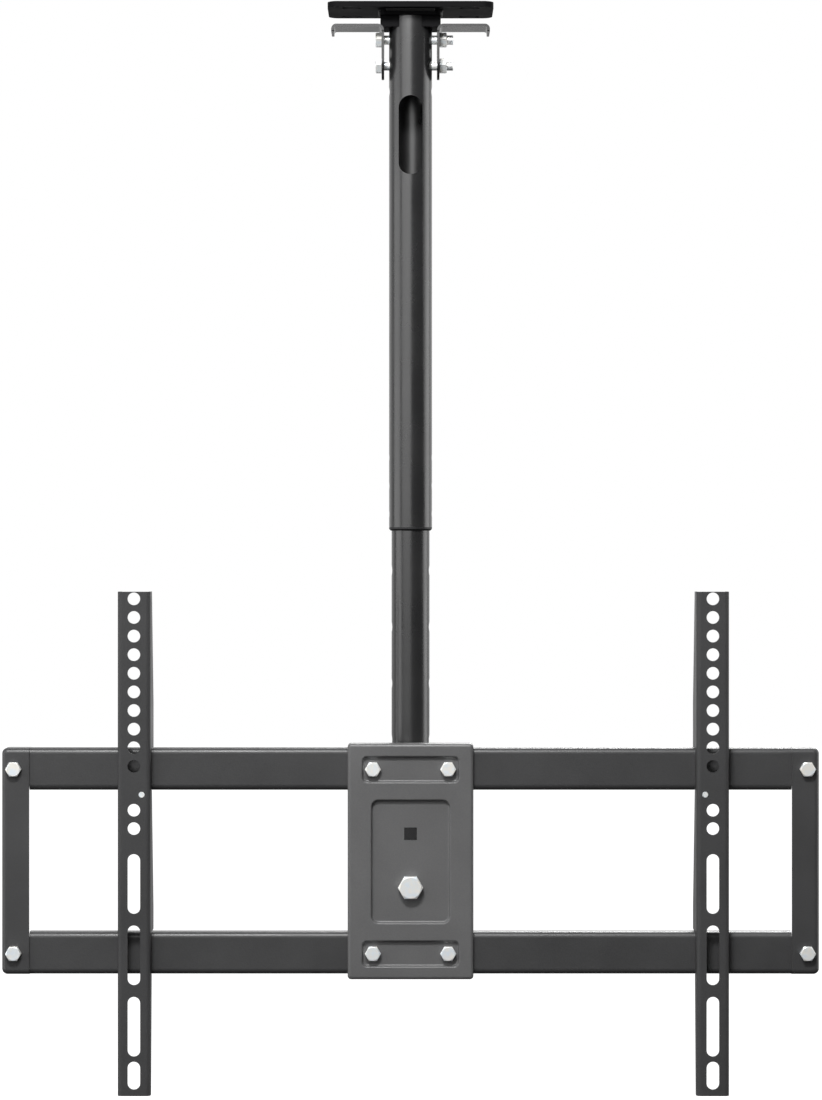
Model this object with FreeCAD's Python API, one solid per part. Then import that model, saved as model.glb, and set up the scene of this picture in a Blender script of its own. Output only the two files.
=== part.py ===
# Ceiling mount for a television: a ceiling plate with two hanger brackets, a round
# telescopic pole, a tilting head, a frame of two rails and two arms for the screen.
# Millimetres, +Z up. The screen side looks along -Y. The origin is the middle of the
# ceiling plate's top face, and the pole's axis is the Z axis.
import FreeCAD
import Part
import math
import os

V = FreeCAD.Vector
X_AXIS = V(1, 0, 0)
Y_AXIS = V(0, 1, 0)
Z_AXIS = V(0, 0, 1)

# Fits
FIT = 0.1               # running fit, radial
PART_GAP = 0.3          # between pieces that pass one another
SEAT = 0.02             # pressed-in bush to its bore
BOLT_PLAY = 0.5         # bolt to plain hole, radial
THREAD_PLAY = 0.05      # bolt to its nut, radial

# Ceiling plate
PLATE_L = 146.0
PLATE_W = 64.0
PLATE_T = 5.0
PLATE_R = 9.0
ANCHOR_X = 52.0
ANCHOR_Y = 23.5
ANCHOR_W = 9.0
ANCHOR_LEN = 18.0

# Pole tubes
POLE_OD = 38.1
POLE_WALL = 1.5
POLE_END = -461.5
INNER_OD = 33.7
INNER_WALL = 2.0
POLE_OVERLAP = 224.5
HOLE_PITCH = 50.0
LOCK_PITCH = 25.0
LOCK_HOLE_D = 6.5
LOCK_END = 11.7
INNER_HOLE_D = 9.0
INNER_FOOT = 14.0
SLOT_W = 21.0
SLOT_TOP = -80.8
SLOT_LEN = 69.6

# Hanger brackets
EAR_IN = 23.4
SHEET = 2.2
EAR_W = 30.0
WING_TOP = -17.5
WING_W = 34.0
WING_REACH = 70.0
WING_LIP = 6.5
WING_BEND = 3.5
EAR_BOTTOM = -64.8
NECK_W = 33.0
NECK_OUT = 26.6
NECK_BOTTOM = -20.0
PAD_W = 42.0
PAD_T = 5.0
HANG_BOLT_1 = -29.4
HANG_PITCH = 23.0

# Metric fasteners: thread, flats, head, nut, washer
M8 = 8.0
M8_AF = 12.0
M8_HEAD = 5.3
M8_NUT = 6.5
M8_WASHER = 1.6
M8_WASHER_OD = 16.0
M12 = 12.0
M12_AF = 19.0
M12_HEAD = 7.5
M12_NUT = 10.0
M5 = 5.0

# Pole lock on the rear of the outer tube
BOSS = 14.0
BOSS_H = 7.0
LOCK_HEAD_GAP = 4.0

# Guide bushes
BUSH_LIP = 3.0
BUSH_LEN = 7.0

# Rails and end brackets
RAIL_L = 715.0
RAIL_H = 37.0
RAIL_D = 15.0
RAIL_T = 2.0
RAIL_LIP = 8.0
RAIL_BEND = 5.0
RAIL_FRONT = -40.0
RAIL_PITCH = 161.0
FRAME_Z = -753.8
END_W = 24.0
TAB_H = 24.0

# Centre plate
FACE_W = 110.0
FACE_H = 206.0
FACE_FRONT = -46.0
FACE_T = 2.2
FACE_FLANGE = 16.0
STRIP_W = 84.0
STRIP_H = 22.0
STRIP_R = 4.0
PANEL_W = 68.0
PANEL_H = 107.0
PANEL_R = 6.0
FACE_BOLT_X = 32.9
KEY = 11.0
KEY_UP = 24.0
CENTRE_DOWN = 22.7

# Tilting head
HEAD_T = 3.0
HEAD_GAP = 0.55
HEAD_R = 13.0
TILT_UP = 5.0
TILT_DOWN = 15.0

# Arms
ARM_W = 28.6
ARM_T = 2.0
ARM_FRONT = -55.0
ARM_TOP = -518.0
ARM_LEN = 439.0
ARM_X_LEFT = -240.8
ARM_X_RIGHT = 263.2
ARM_HOLE_D = 11.0
ARM_PITCH = 16.2
ARM_FIRST = 6.2
ARM_ROUND = 10
ARM_REACH = 200.0       # first hole to the lowest round hole
ARM_LOW_PITCH = 16.0
ARM_SLOT_LEN = 52.0
ARM_SLOT_FIRST = 254.4
ARM_SLOT_PITCH = 62.1
ARM_SLOT_COUNT = 3
ARM_END_SLOT = 24.3
ARM_END_MARGIN = 17.8
ARM_DEPTH_TOP = 19.5    # flange depth at the top end
ARM_DEPTH_MID = 19.0    # just under the upper rail
ARM_DEPTH_LOW = 17.0    # just under the lower rail
ARM_DEPTH_END = 10.0    # at the bottom end
HOOK_T = 6.5
HOOK_DROP = 9.0
HOOK_RISE = 38.0
SHELF_RISE = 20.0
SAFETY_X = 6.8

# Values that follow from the sizes above
POLE_R = POLE_OD / 2.0
POLE_BORE = POLE_R - POLE_WALL
INNER_R = INNER_OD / 2.0
INNER_BORE = INNER_R - INNER_WALL
LOCK_Z = POLE_END + LOCK_END
INNER_TOP = POLE_END + POLE_OVERLAP
POLE_TOP = -PLATE_T - PAD_T
PIVOT_Z = LOCK_Z - 5.0 * HOLE_PITCH
TILT_Z = PIVOT_Z - HOLE_PITCH
INNER_END = TILT_Z - INNER_FOOT
RAIL_REAR = RAIL_FRONT + RAIL_D
RAIL_TOP_Z = FRAME_Z + RAIL_PITCH / 2.0
RAIL_LOW_Z = FRAME_Z - RAIL_PITCH / 2.0
FRAME_TOP = RAIL_TOP_Z + RAIL_H / 2.0
FRAME_BOTTOM = RAIL_LOW_Z - RAIL_H / 2.0
END_IN = RAIL_L / 2.0 - END_W
END_BOLT_X = RAIL_L / 2.0 - END_W * 0.44
RECESS = RAIL_FRONT - FACE_FRONT - FACE_T
KEY_Z = FRAME_Z + KEY_UP
CENTRE_Z = FRAME_Z - CENTRE_DOWN
HEAD_IN = INNER_R + HEAD_GAP
HEAD_OUT = HEAD_IN + HEAD_T
HEAD_REAR = RAIL_FRONT + HEAD_T
ARM_BACK = RAIL_FRONT - PART_GAP
EAR_OUT = EAR_IN + SHEET


def box(x0, x1, y0, y1, z0, z1):
    return Part.makeBox(x1 - x0, y1 - y0, z1 - z0, V(x0, y0, z0))


def rod(x, y, z, axis, radius, length):
    return Part.makeCylinder(radius, length, V(x, y, z), axis)


def cross_hole(z, diameter, reach):
    return rod(-reach, 0, z, X_AXIS, diameter / 2.0, 2.0 * reach)


def outline(points, sweep):
    wire = Part.makePolygon(points + [points[0]])
    return Part.Face(wire).extrude(sweep)


def edges_along(shape, axis, spots):
    """Edges that run along one axis through given spots in the other two."""
    others = [i for i in range(3) if i != axis]
    found = []
    for edge in shape.Edges:
        if len(edge.Vertexes) != 2:
            continue
        a = edge.Vertexes[0].Point
        b = edge.Vertexes[1].Point
        if any(abs(a[i] - b[i]) > 1e-5 for i in others):
            continue
        for spot in spots:
            if all(abs(a[i] - s) < 1e-4 for i, s in zip(others, spot)):
                found.append(edge)
                break
    return found


def rounded(shape, radius, axis, spots):
    return shape.makeFillet(radius, edges_along(shape, axis, spots))


def oblong_y(x, z, width, length, y0, y1):
    """Slot cutter through a face that looks along Y; its length runs along Z."""
    half = (length - width) / 2.0
    if half <= 0:
        return rod(x, y0, z, Y_AXIS, width / 2.0, y1 - y0)
    middle = box(x - width / 2.0, x + width / 2.0, y0, y1, z - half, z + half)
    top = rod(x, y0, z + half, Y_AXIS, width / 2.0, y1 - y0)
    low = rod(x, y0, z - half, Y_AXIS, width / 2.0, y1 - y0)
    return middle.fuse(top).fuse(low).removeSplitter()


def oblong_z(x, y, width, length, z0, z1):
    """Slot cutter through a level face; its length runs along X."""
    half = (length - width) / 2.0
    middle = box(x - half, x + half, y - width / 2.0, y + width / 2.0, z0, z1)
    left = rod(x - half, y, z0, Z_AXIS, width / 2.0, z1 - z0)
    right = rod(x + half, y, z0, Z_AXIS, width / 2.0, z1 - z0)
    return middle.fuse(left).fuse(right).removeSplitter()


def hexagon(x, y, z, axis, flats, height, top_chamfer):
    """Hexagonal block that starts at a point and rises along an axis."""
    corner = flats / math.sqrt(3.0)
    block = []
    turn = 30 if abs(axis.x) > 0.5 else 0
    for i in range(6):
        angle = math.radians(60 * i + turn)
        block.append(V(corner * math.cos(angle), corner * math.sin(angle), 0))
    body = outline(block, V(0, 0, height))
    cap = flats * 0.14 if top_chamfer else 0
    if cap:
        low = Part.makeCylinder(corner, height - cap * 0.5)
        crown = Part.makeCone(corner, flats * 0.475, cap * 0.5, V(0, 0, height - cap * 0.5))
        body = body.common(low.fuse(crown))
    body.Placement = FreeCAD.Placement(V(x, y, z), FreeCAD.Rotation(Z_AXIS, axis))
    return body


def hex_bolt(x, y, z, axis, thread, flats, head, length):
    """Bolt whose head sits at a point, with its shank going back along -axis."""
    top = hexagon(x, y, z, axis, flats, head, True)
    shank = Part.makeCylinder(thread / 2.0, length, V(x, y, z), axis * -1)
    return top.fuse(shank).removeSplitter()


def hex_nut(x, y, z, axis, thread, flats, height):
    block = hexagon(x, y, z, axis, flats, height, True)
    bore = Part.makeCylinder(thread / 2.0 + THREAD_PLAY, height, V(x, y, z), axis)
    return block.cut(bore)


def washer(x, y, z, axis, inner, outer, height):
    disc = Part.makeCylinder(outer / 2.0, height, V(x, y, z), axis)
    return disc.cut(Part.makeCylinder(inner / 2.0, height, V(x, y, z), axis))


def save(node, *shapes):
    solids = []
    for shape in shapes:
        solids.extend(shape.Solids)
    shape = solids[0] if len(solids) == 1 else Part.makeCompound(solids)
    if not solids or not shape.isValid():
        raise ValueError(node + " is not a valid solid")
    shape.exportStep("parts/" + node + ".step")


def mirrored(shape):
    return shape.mirror(V(0, 0, 0), X_AXIS)


def ceiling_plate():
    body = box(-PLATE_L / 2, PLATE_L / 2, -PLATE_W / 2, PLATE_W / 2, -PLATE_T, 0)
    corners = [(sx * PLATE_L / 2, sy * PLATE_W / 2) for sx in (-1, 1) for sy in (-1, 1)]
    body = rounded(body, PLATE_R, 2, corners)
    for sx in (-1, 1):
        for sy in (-1, 1):
            body = body.cut(oblong_z(sx * ANCHOR_X, sy * ANCHOR_Y, ANCHOR_W, ANCHOR_LEN,
                                     -PLATE_T, 0))
    return body


def hanger_bracket():
    """Right-hand bracket: a wing with a turned-down lip, bent into a hanging ear."""
    section = [V(EAR_IN, 0, EAR_BOTTOM), V(EAR_IN, 0, WING_TOP), V(WING_REACH, 0, WING_TOP),
               V(WING_REACH, 0, WING_TOP - WING_LIP), V(WING_REACH - SHEET, 0, WING_TOP - WING_LIP),
               V(WING_REACH - SHEET, 0, WING_TOP - SHEET), V(EAR_OUT, 0, WING_TOP - SHEET),
               V(EAR_OUT, 0, EAR_BOTTOM)]
    sheet = outline(section, V(0, WING_W, 0))
    sheet.translate(V(0, -WING_W / 2, 0))
    sheet = rounded(sheet, WING_BEND + SHEET, 1, [(EAR_IN, WING_TOP)])
    sheet = rounded(sheet, WING_BEND, 1, [(EAR_OUT, WING_TOP - SHEET)])
    sheet = rounded(sheet, SHEET * 2, 1, [(WING_REACH, WING_TOP)])
    sheet = rounded(sheet, SHEET, 1, [(WING_REACH - SHEET, WING_TOP - SHEET)])
    ear_r = EAR_W / 2.0
    root = WING_TOP - SHEET - WING_BEND
    reach = WING_REACH + 1
    keep = box(0, reach, -WING_W / 2, WING_W / 2, root, 0)
    keep = keep.fuse(box(0, reach, -ear_r, ear_r, EAR_BOTTOM + ear_r, root))
    keep = keep.fuse(rod(0, 0, EAR_BOTTOM + ear_r, X_AXIS, ear_r, reach))
    body = sheet.common(keep)
    for step in range(3):
        hole_z = HANG_BOLT_1 - HANG_PITCH * step / 2.0
        body = body.cut(rod(0, 0, hole_z, X_AXIS, M8 / 2 + BOLT_PLAY, EAR_OUT + WING_BEND))
    return body


def neck_block():
    """Welded block: a pad under the ceiling plate and two sides between tube and brackets."""
    pad = box(-NECK_OUT, NECK_OUT, -PAD_W / 2, PAD_W / 2, POLE_TOP, -PLATE_T)
    pad = rounded(pad, PAD_T, 2, [(sx * NECK_OUT, sy * PAD_W / 2) for sx in (-1, 1) for sy in (-1, 1)])
    sides = box(-NECK_OUT, NECK_OUT, -NECK_W / 2, NECK_W / 2, NECK_BOTTOM, POLE_TOP)
    sides = sides.cut(rod(0, 0, NECK_BOTTOM, Z_AXIS, POLE_R + PART_GAP, POLE_TOP - NECK_BOTTOM))
    below = [V(EAR_IN, 0, EAR_BOTTOM), V(EAR_IN, 0, WING_TOP), V(WING_REACH, 0, WING_TOP),
             V(WING_REACH, 0, EAR_BOTTOM)]
    solid = outline(below, V(0, WING_W, 0))
    solid.translate(V(0, -WING_W / 2, 0))
    solid = rounded(solid, WING_BEND + SHEET, 1, [(EAR_IN, WING_TOP)])
    return pad.fuse(sides.cut(solid).cut(mirrored(solid))).removeSplitter()


def outer_tube():
    length = POLE_TOP - POLE_END
    body = rod(0, 0, POLE_END, Z_AXIS, POLE_R, length)
    body = body.cut(rod(0, 0, POLE_END, Z_AXIS, POLE_BORE, length))
    slot_mid = SLOT_TOP - SLOT_LEN / 2.0
    body = body.cut(oblong_y(0, slot_mid, SLOT_W, SLOT_LEN, -POLE_OD, 0))
    for step in range(3):
        body = body.cut(cross_hole(HANG_BOLT_1 - HANG_PITCH * step, M8 + 2 * BOLT_PLAY, POLE_OD))
        body = body.cut(cross_hole(LOCK_Z + LOCK_PITCH * step, LOCK_HOLE_D, POLE_OD))
    for z in lock_screw_heights():
        body = body.cut(rod(0, 0, z, Y_AXIS, M8 / 2 + BOLT_PLAY, POLE_OD))
    return body


def lock_screw_heights():
    return [LOCK_Z + LOCK_PITCH * (step + 0.5) for step in range(2)]


def lock_boss(z):
    body = box(-BOSS / 2, BOSS / 2, 0, POLE_R + BOSS_H, z - BOSS / 2, z + BOSS / 2)
    body = body.cut(rod(0, 0, z - BOSS, Z_AXIS, POLE_R, 2 * BOSS))
    return body.cut(rod(0, 0, z, Y_AXIS, M8 / 2 + THREAD_PLAY, POLE_OD))


def lock_screw(z):
    tip = INNER_R + PART_GAP
    seat = POLE_R + BOSS_H + LOCK_HEAD_GAP
    return hex_bolt(0, seat, z, Y_AXIS, M8, M8_AF, M8_HEAD, seat - tip)


def lower_bush():
    lip = rod(0, 0, POLE_END - BUSH_LIP, Z_AXIS, POLE_R, BUSH_LIP)
    rim = [edge for edge in lip.Edges if abs(edge.BoundBox.ZMax - POLE_END + BUSH_LIP) < 1e-3]
    lip = lip.makeChamfer(BUSH_LIP * 0.5, rim)
    sleeve = rod(0, 0, POLE_END, Z_AXIS, POLE_BORE - SEAT, BUSH_LEN)
    body = lip.fuse(sleeve)
    bore = rod(0, 0, POLE_END - BUSH_LIP, Z_AXIS, INNER_R + FIT, BUSH_LIP + BUSH_LEN)
    return body.cut(bore)


def upper_bush():
    low = INNER_TOP - BUSH_LEN
    body = rod(0, 0, low, Z_AXIS, POLE_BORE - FIT, BUSH_LEN + BUSH_LIP)
    body = body.cut(rod(0, 0, low, Z_AXIS, INNER_R + FIT, BUSH_LEN + FIT))
    return body.cut(rod(0, 0, low, Z_AXIS, INNER_BORE, BUSH_LEN + BUSH_LIP))


def inner_tube():
    length = INNER_TOP - INNER_END
    body = rod(0, 0, INNER_END, Z_AXIS, INNER_R, length)
    body = body.cut(rod(0, 0, INNER_END, Z_AXIS, INNER_BORE, length))
    z = TILT_Z
    while z < INNER_TOP - INNER_HOLE_D:
        body = body.cut(cross_hole(z, INNER_HOLE_D, POLE_OD))
        z += HOLE_PITCH
    return body


def tilt_bolt(z):
    seat = HEAD_OUT + FIT + M8_WASHER
    length = 2 * seat + M8_NUT + 2.5
    return hex_bolt(-seat, 0, z, X_AXIS * -1, M8, M8_AF, M8_HEAD, length)


def tilt_nut(z):
    return hex_nut(HEAD_OUT + FIT + M8_WASHER, 0, z, X_AXIS, M8, M8_AF, M8_NUT)


def tilt_washer(z, side):
    start = HEAD_OUT + FIT
    return washer(side * start, 0, z, X_AXIS * side, M8 + 2 * FIT, M8_WASHER_OD, M8_WASHER)


def head_bracket():
    """U-shaped bracket: a web behind the centre plate and two cheeks beside the pole."""
    top = RAIL_TOP_Z - RAIL_H / 2.0 - 2.2
    low = TILT_Z - HOLE_PITCH * 0.4
    foot = CENTRE_Z - M12_AF
    block = box(-HEAD_OUT, HEAD_OUT, RAIL_FRONT, HEAD_R, foot, PIVOT_Z + HEAD_R)
    block = rounded(block, HEAD_T, 2, [(-HEAD_OUT, RAIL_FRONT), (HEAD_OUT, RAIL_FRONT)])
    side = -HEAD_OUT - 1
    width = -2 * side
    cheek = [V(side, RAIL_FRONT, top), V(side, RAIL_REAR - 1, top),
             V(side, -HEAD_R * 0.45, PIVOT_Z + HEAD_R * 0.89), V(side, HEAD_R * 0.9, PIVOT_Z),
             V(side, HEAD_R, PIVOT_Z - HEAD_R), V(side, HEAD_R, low + HEAD_R), V(side, 0, low),
             V(side, RAIL_FRONT, low)]
    keep = outline(cheek, V(width, 0, 0))
    keep = keep.fuse(rod(side, 0, PIVOT_Z, X_AXIS, HEAD_R, width))
    keep = keep.fuse(box(side, side + width, RAIL_FRONT, HEAD_REAR, foot, top))
    body = block.common(keep)
    body = body.cut(box(-HEAD_IN, HEAD_IN, HEAD_REAR, HEAD_R * 2, foot - 1, PIVOT_Z + HEAD_R * 2))
    body = body.fuse(box(-KEY / 2 + PART_GAP, KEY / 2 - PART_GAP, RAIL_FRONT - FACE_T + PART_GAP,
                         RAIL_FRONT, KEY_Z - KEY / 2 + PART_GAP, KEY_Z + KEY / 2 - PART_GAP))
    body = body.cut(rod(0, RAIL_FRONT - 1, CENTRE_Z, Y_AXIS, M12 / 2 + BOLT_PLAY, HEAD_T + 2))
    body = body.cut(cross_hole(PIVOT_Z, M8 + 2 * FIT, HEAD_OUT * 2))
    return body.cut(tilt_slot())


def tilt_slot():
    """Curved slot about the tilt pivot, as long as the tilt range."""
    half = M8 / 2.0 + PART_GAP
    reach = HEAD_OUT * 2
    pivot = V(0, 0, PIVOT_Z)
    ring = cross_hole(PIVOT_Z, 2 * (HOLE_PITCH + half), reach)
    ring = ring.cut(cross_hole(PIVOT_Z, 2 * (HOLE_PITCH - half), reach))
    wedge = [V(-reach, 0, PIVOT_Z)]
    for angle in (-TILT_DOWN, TILT_UP):
        turn = math.radians(angle)
        far = 2 * HOLE_PITCH
        wedge.append(V(-reach, far * math.sin(turn), PIVOT_Z - far * math.cos(turn)))
    slot = ring.common(outline(wedge, V(2 * reach, 0, 0)))
    for angle in (-TILT_DOWN, TILT_UP):
        end = cross_hole(TILT_Z, 2 * half, reach)
        end.rotate(pivot, X_AXIS, angle)
        slot = slot.fuse(end)
    return slot


def rail(mid_z):
    low = mid_z - RAIL_H / 2.0
    high = mid_z + RAIL_H / 2.0
    half = RAIL_L / 2.0 - RAIL_BEND
    body = box(-half, half, RAIL_FRONT, RAIL_REAR, low, high)
    body = rounded(body, RAIL_BEND, 0, [(RAIL_FRONT, low), (RAIL_FRONT, high)])
    body = rounded(body, RAIL_T * 1.5, 0, [(RAIL_REAR, low), (RAIL_REAR, high)])
    y0 = RAIL_FRONT + RAIL_T
    y1 = RAIL_REAR - RAIL_T
    z0 = low + RAIL_T
    z1 = high - RAIL_T
    core = box(-half, half, y0, y1, z0, z1)
    core = rounded(core, RAIL_BEND - RAIL_T, 0, [(y0, z0), (y0, z1)])
    core = rounded(core, RAIL_T * 0.5, 0, [(y1, z0), (y1, z1)])
    body = body.cut(core)
    body = body.cut(box(-half, half, y1 - 1, RAIL_REAR + 1, low + RAIL_LIP, high - RAIL_LIP))
    for side in (-1, 1):
        x0 = min(side * END_IN, side * (half + 1))
        x1 = max(side * END_IN, side * (half + 1))
        body = body.cut(box(x0, x1, y0, RAIL_REAR + 1, low - 1, high + 1))
        body = body.cut(box(x0, x1, RAIL_FRONT - 1, y0, mid_z + TAB_H / 2, high + 1))
        body = body.cut(box(x0, x1, RAIL_FRONT - 1, y0, low - 1, mid_z - TAB_H / 2))
        for x in (FACE_BOLT_X, END_BOLT_X):
            body = body.cut(rod(side * x, RAIL_FRONT - 1, mid_z, Y_AXIS, M8 / 2 + BOLT_PLAY, RAIL_T + 2))
    return body


def end_bracket():
    """Right-hand end of the frame: front, outer side, top and bottom of one bent sheet."""
    outer = RAIL_L / 2.0
    front = RAIL_FRONT - RAIL_T
    body = box(END_IN, outer, front, RAIL_REAR, FRAME_BOTTOM, FRAME_TOP)
    body = rounded(body, RAIL_BEND, 1, [(outer, FRAME_BOTTOM), (outer, FRAME_TOP)])
    rim = [edge for edge in body.Edges
           if abs(edge.BoundBox.YMin - front) < 1e-4 and abs(edge.BoundBox.YMax - front) < 1e-4
           and edge.BoundBox.XMax > END_IN + 1e-3]
    body = body.makeFillet(RAIL_BEND - 0.5, rim)
    core = box(END_IN - 1, outer - RAIL_T, RAIL_FRONT, RAIL_REAR + 1,
               FRAME_BOTTOM + RAIL_T, FRAME_TOP - RAIL_T)
    inner = RAIL_BEND - RAIL_T
    spots = [(outer - RAIL_T, FRAME_BOTTOM + RAIL_T), (outer - RAIL_T, FRAME_TOP - RAIL_T)]
    core = rounded(core, inner, 1, spots)
    rim = [edge for edge in core.Edges
           if abs(edge.BoundBox.YMin - RAIL_FRONT) < 1e-4 and abs(edge.BoundBox.YMax - RAIL_FRONT) < 1e-4
           and edge.BoundBox.XMax > END_IN]
    core = core.makeFillet(inner - 0.5, rim)
    body = body.cut(core)
    for z in (RAIL_TOP_Z, RAIL_LOW_Z):
        body = body.cut(rod(END_BOLT_X, front - 1, z, Y_AXIS, M8 / 2 + BOLT_PLAY, RAIL_T + 2))
    return body


def pressed_recess(mid_z, width, height, corner):
    """Front pocket and rear pad of one pressed recess in the centre plate."""
    half_w = width / 2.0
    half_h = height / 2.0
    soft = RECESS * 0.45
    bottom = FACE_FRONT + RECESS
    pocket = box(-half_w, half_w, FACE_FRONT - 1, bottom, mid_z - half_h, mid_z + half_h)
    pocket = rounded(pocket, corner, 1, [(sx * half_w, mid_z + sz * half_h)
                                         for sx in (-1, 1) for sz in (-1, 1)])
    floor_rim = [edge for edge in pocket.Edges if abs(edge.BoundBox.YMin - bottom) < 1e-4]
    pocket = pocket.makeFillet(soft, floor_rim)
    pad_w = half_w + FACE_T * 0.6
    pad_h = half_h + FACE_T * 0.6
    pad = box(-pad_w, pad_w, FACE_FRONT + FACE_T * 0.5, RAIL_FRONT, mid_z - pad_h, mid_z + pad_h)
    pad = rounded(pad, corner + FACE_T * 0.6, 1, [(sx * pad_w, mid_z + sz * pad_h)
                                                  for sx in (-1, 1) for sz in (-1, 1)])
    return pocket, pad


def centre_plate():
    half_w = FACE_W / 2.0
    half_h = FACE_H / 2.0
    rear = FACE_FRONT + FACE_FLANGE
    bend = FACE_T + 1.0
    body = box(-half_w, half_w, FACE_FRONT, rear, FRAME_Z - half_h, FRAME_Z + half_h)
    body = rounded(body, bend, 1, [(sx * half_w, FRAME_Z + sz * half_h)
                                   for sx in (-1, 1) for sz in (-1, 1)])
    rim = [edge for edge in body.Edges if abs(edge.BoundBox.YMax - FACE_FRONT) < 1e-4]
    body = body.makeFillet(bend - 0.2, rim)
    in_w = half_w - FACE_T
    in_h = half_h - FACE_T
    body = body.cut(box(-in_w, in_w, FACE_FRONT + FACE_T, rear, FRAME_Z - in_h, FRAME_Z + in_h))
    side_h = FRAME_TOP - FRAME_Z + PART_GAP
    for side in (-1, 1):
        x0 = min(side * (in_w - 1), side * (half_w + 1))
        x1 = max(side * (in_w - 1), side * (half_w + 1))
        body = body.cut(box(x0, x1, RAIL_FRONT - PART_GAP, rear + 1, FRAME_Z - side_h, FRAME_Z + side_h))
    recesses = [(RAIL_TOP_Z, STRIP_W, STRIP_H, STRIP_R), (FRAME_Z, PANEL_W, PANEL_H, PANEL_R),
                (RAIL_LOW_Z, STRIP_W, STRIP_H, STRIP_R)]
    pockets = []
    for size in recesses:
        pocket, pad = pressed_recess(*size)
        body = body.fuse(pad)
        pockets.append(pocket)
    for pocket in pockets:
        body = body.cut(pocket)
    body = body.removeSplitter()
    mouth = []
    for edge in body.Edges:
        span = edge.BoundBox
        if abs(span.YMin - FACE_FRONT) < 1e-4 and abs(span.YMax - FACE_FRONT) < 1e-4:
            if max(abs(span.XMin), abs(span.XMax)) < STRIP_W / 2.0 + 0.1:
                mouth.append(edge)
    body = body.makeFillet(RECESS * 0.35, mouth)
    for z in (RAIL_TOP_Z, RAIL_LOW_Z):
        for side in (-1, 1):
            body = body.cut(rod(side * FACE_BOLT_X, FACE_FRONT - 1, z, Y_AXIS, M8 / 2 + BOLT_PLAY,
                                FACE_FLANGE))
    body = body.cut(rod(0, FACE_FRONT - 1, CENTRE_Z, Y_AXIS, M12 / 2 + BOLT_PLAY, FACE_FLANGE))
    return body.cut(box(-KEY / 2, KEY / 2, FACE_FRONT - 1, RAIL_FRONT + 1,
                        KEY_Z - KEY / 2, KEY_Z + KEY / 2))


def rail_spots():
    return [(side * FACE_BOLT_X, z) for side in (-1, 1) for z in (RAIL_TOP_Z, RAIL_LOW_Z)]


def end_spots():
    return [(side * END_BOLT_X, z) for side in (-1, 1) for z in (RAIL_TOP_Z, RAIL_LOW_Z)]


def frame_bolt(x, y, z):
    length = RAIL_FRONT + RAIL_T - y + M8_NUT + 2.0
    return hex_bolt(x, y, z, Y_AXIS * -1, M8, M8_AF, M8_HEAD, length)


def frame_nut(x, z):
    return hex_nut(x, RAIL_FRONT + RAIL_T, z, Y_AXIS, M8, M8_AF, M8_NUT)


def arm(mid_x, inner_side):
    """U-shaped arm: web in front, two tapered flanges notched for the rails and hooked on."""
    low = ARM_TOP - ARM_LEN
    half = ARM_W / 2.0
    hook_low = FRAME_TOP + PART_GAP
    hook_front = RAIL_REAR + PART_GAP
    hook_rear = hook_front + HOOK_T
    under = RAIL_TOP_Z - RAIL_H / 2.0 - PART_GAP
    shelf = RAIL_LOW_Z + RAIL_H / 2.0 + PART_GAP
    foot = FRAME_BOTTOM - PART_GAP
    profile = [(ARM_FRONT, ARM_TOP), (ARM_FRONT + ARM_DEPTH_TOP, ARM_TOP),
               (hook_rear, hook_low + HOOK_RISE), (hook_rear, hook_low - HOOK_DROP),
               (hook_front, hook_low - HOOK_DROP), (hook_front, hook_low),
               (ARM_BACK, hook_low), (ARM_BACK, under),
               (ARM_FRONT + ARM_DEPTH_MID, under), (hook_rear, shelf + SHELF_RISE),
               (hook_rear, shelf), (ARM_BACK, shelf),
               (ARM_BACK, foot), (ARM_FRONT + ARM_DEPTH_LOW, foot),
               (ARM_FRONT + ARM_DEPTH_END, low), (ARM_FRONT, low)]
    side = outline([V(mid_x - half, y, z) for y, z in profile], V(ARM_W, 0, 0))
    side = rounded(side, ARM_T * 2, 2, [(mid_x - half, ARM_FRONT), (mid_x + half, ARM_FRONT)])
    side = rounded(side, ARM_T, 0, [(hook_rear, hook_low - HOOK_DROP), (hook_rear, shelf)])
    core = box(mid_x - half + ARM_T, mid_x + half - ARM_T, ARM_FRONT + ARM_T, hook_rear + 1, low - 1,
               ARM_TOP + 1)
    front_in = ARM_FRONT + ARM_T
    core = rounded(core, ARM_T, 2, [(mid_x - half + ARM_T, front_in), (mid_x + half - ARM_T, front_in)])
    body = side.cut(core)
    for i in range(ARM_ROUND):
        z = ARM_TOP - ARM_FIRST - ARM_PITCH * i
        body = body.cut(rod(mid_x, ARM_FRONT - 1, z, Y_AXIS, ARM_HOLE_D / 2, ARM_T + 2))
    for down in (ARM_REACH - ARM_LOW_PITCH, ARM_REACH):
        z = ARM_TOP - ARM_FIRST - down
        body = body.cut(rod(mid_x, ARM_FRONT - 1, z, Y_AXIS, ARM_HOLE_D / 2, ARM_T + 2))
    for i in range(ARM_SLOT_COUNT):
        z = ARM_TOP - ARM_SLOT_FIRST - ARM_SLOT_PITCH * i
        body = body.cut(oblong_y(mid_x, z, ARM_HOLE_D, ARM_SLOT_LEN, ARM_FRONT - 1, front_in + 1))
    body = body.cut(oblong_y(mid_x, low + ARM_END_MARGIN, ARM_HOLE_D, ARM_END_SLOT, ARM_FRONT - 1,
                             front_in + 1))
    x = mid_x + inner_side * SAFETY_X
    return body.cut(rod(x, ARM_FRONT - 1, safety_height(), Y_AXIS, M5 / 2 + THREAD_PLAY, ARM_T + 2))


def safety_height():
    return RAIL_TOP_Z - RAIL_H / 2.0 - M5 / 2.0 - PART_GAP


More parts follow.
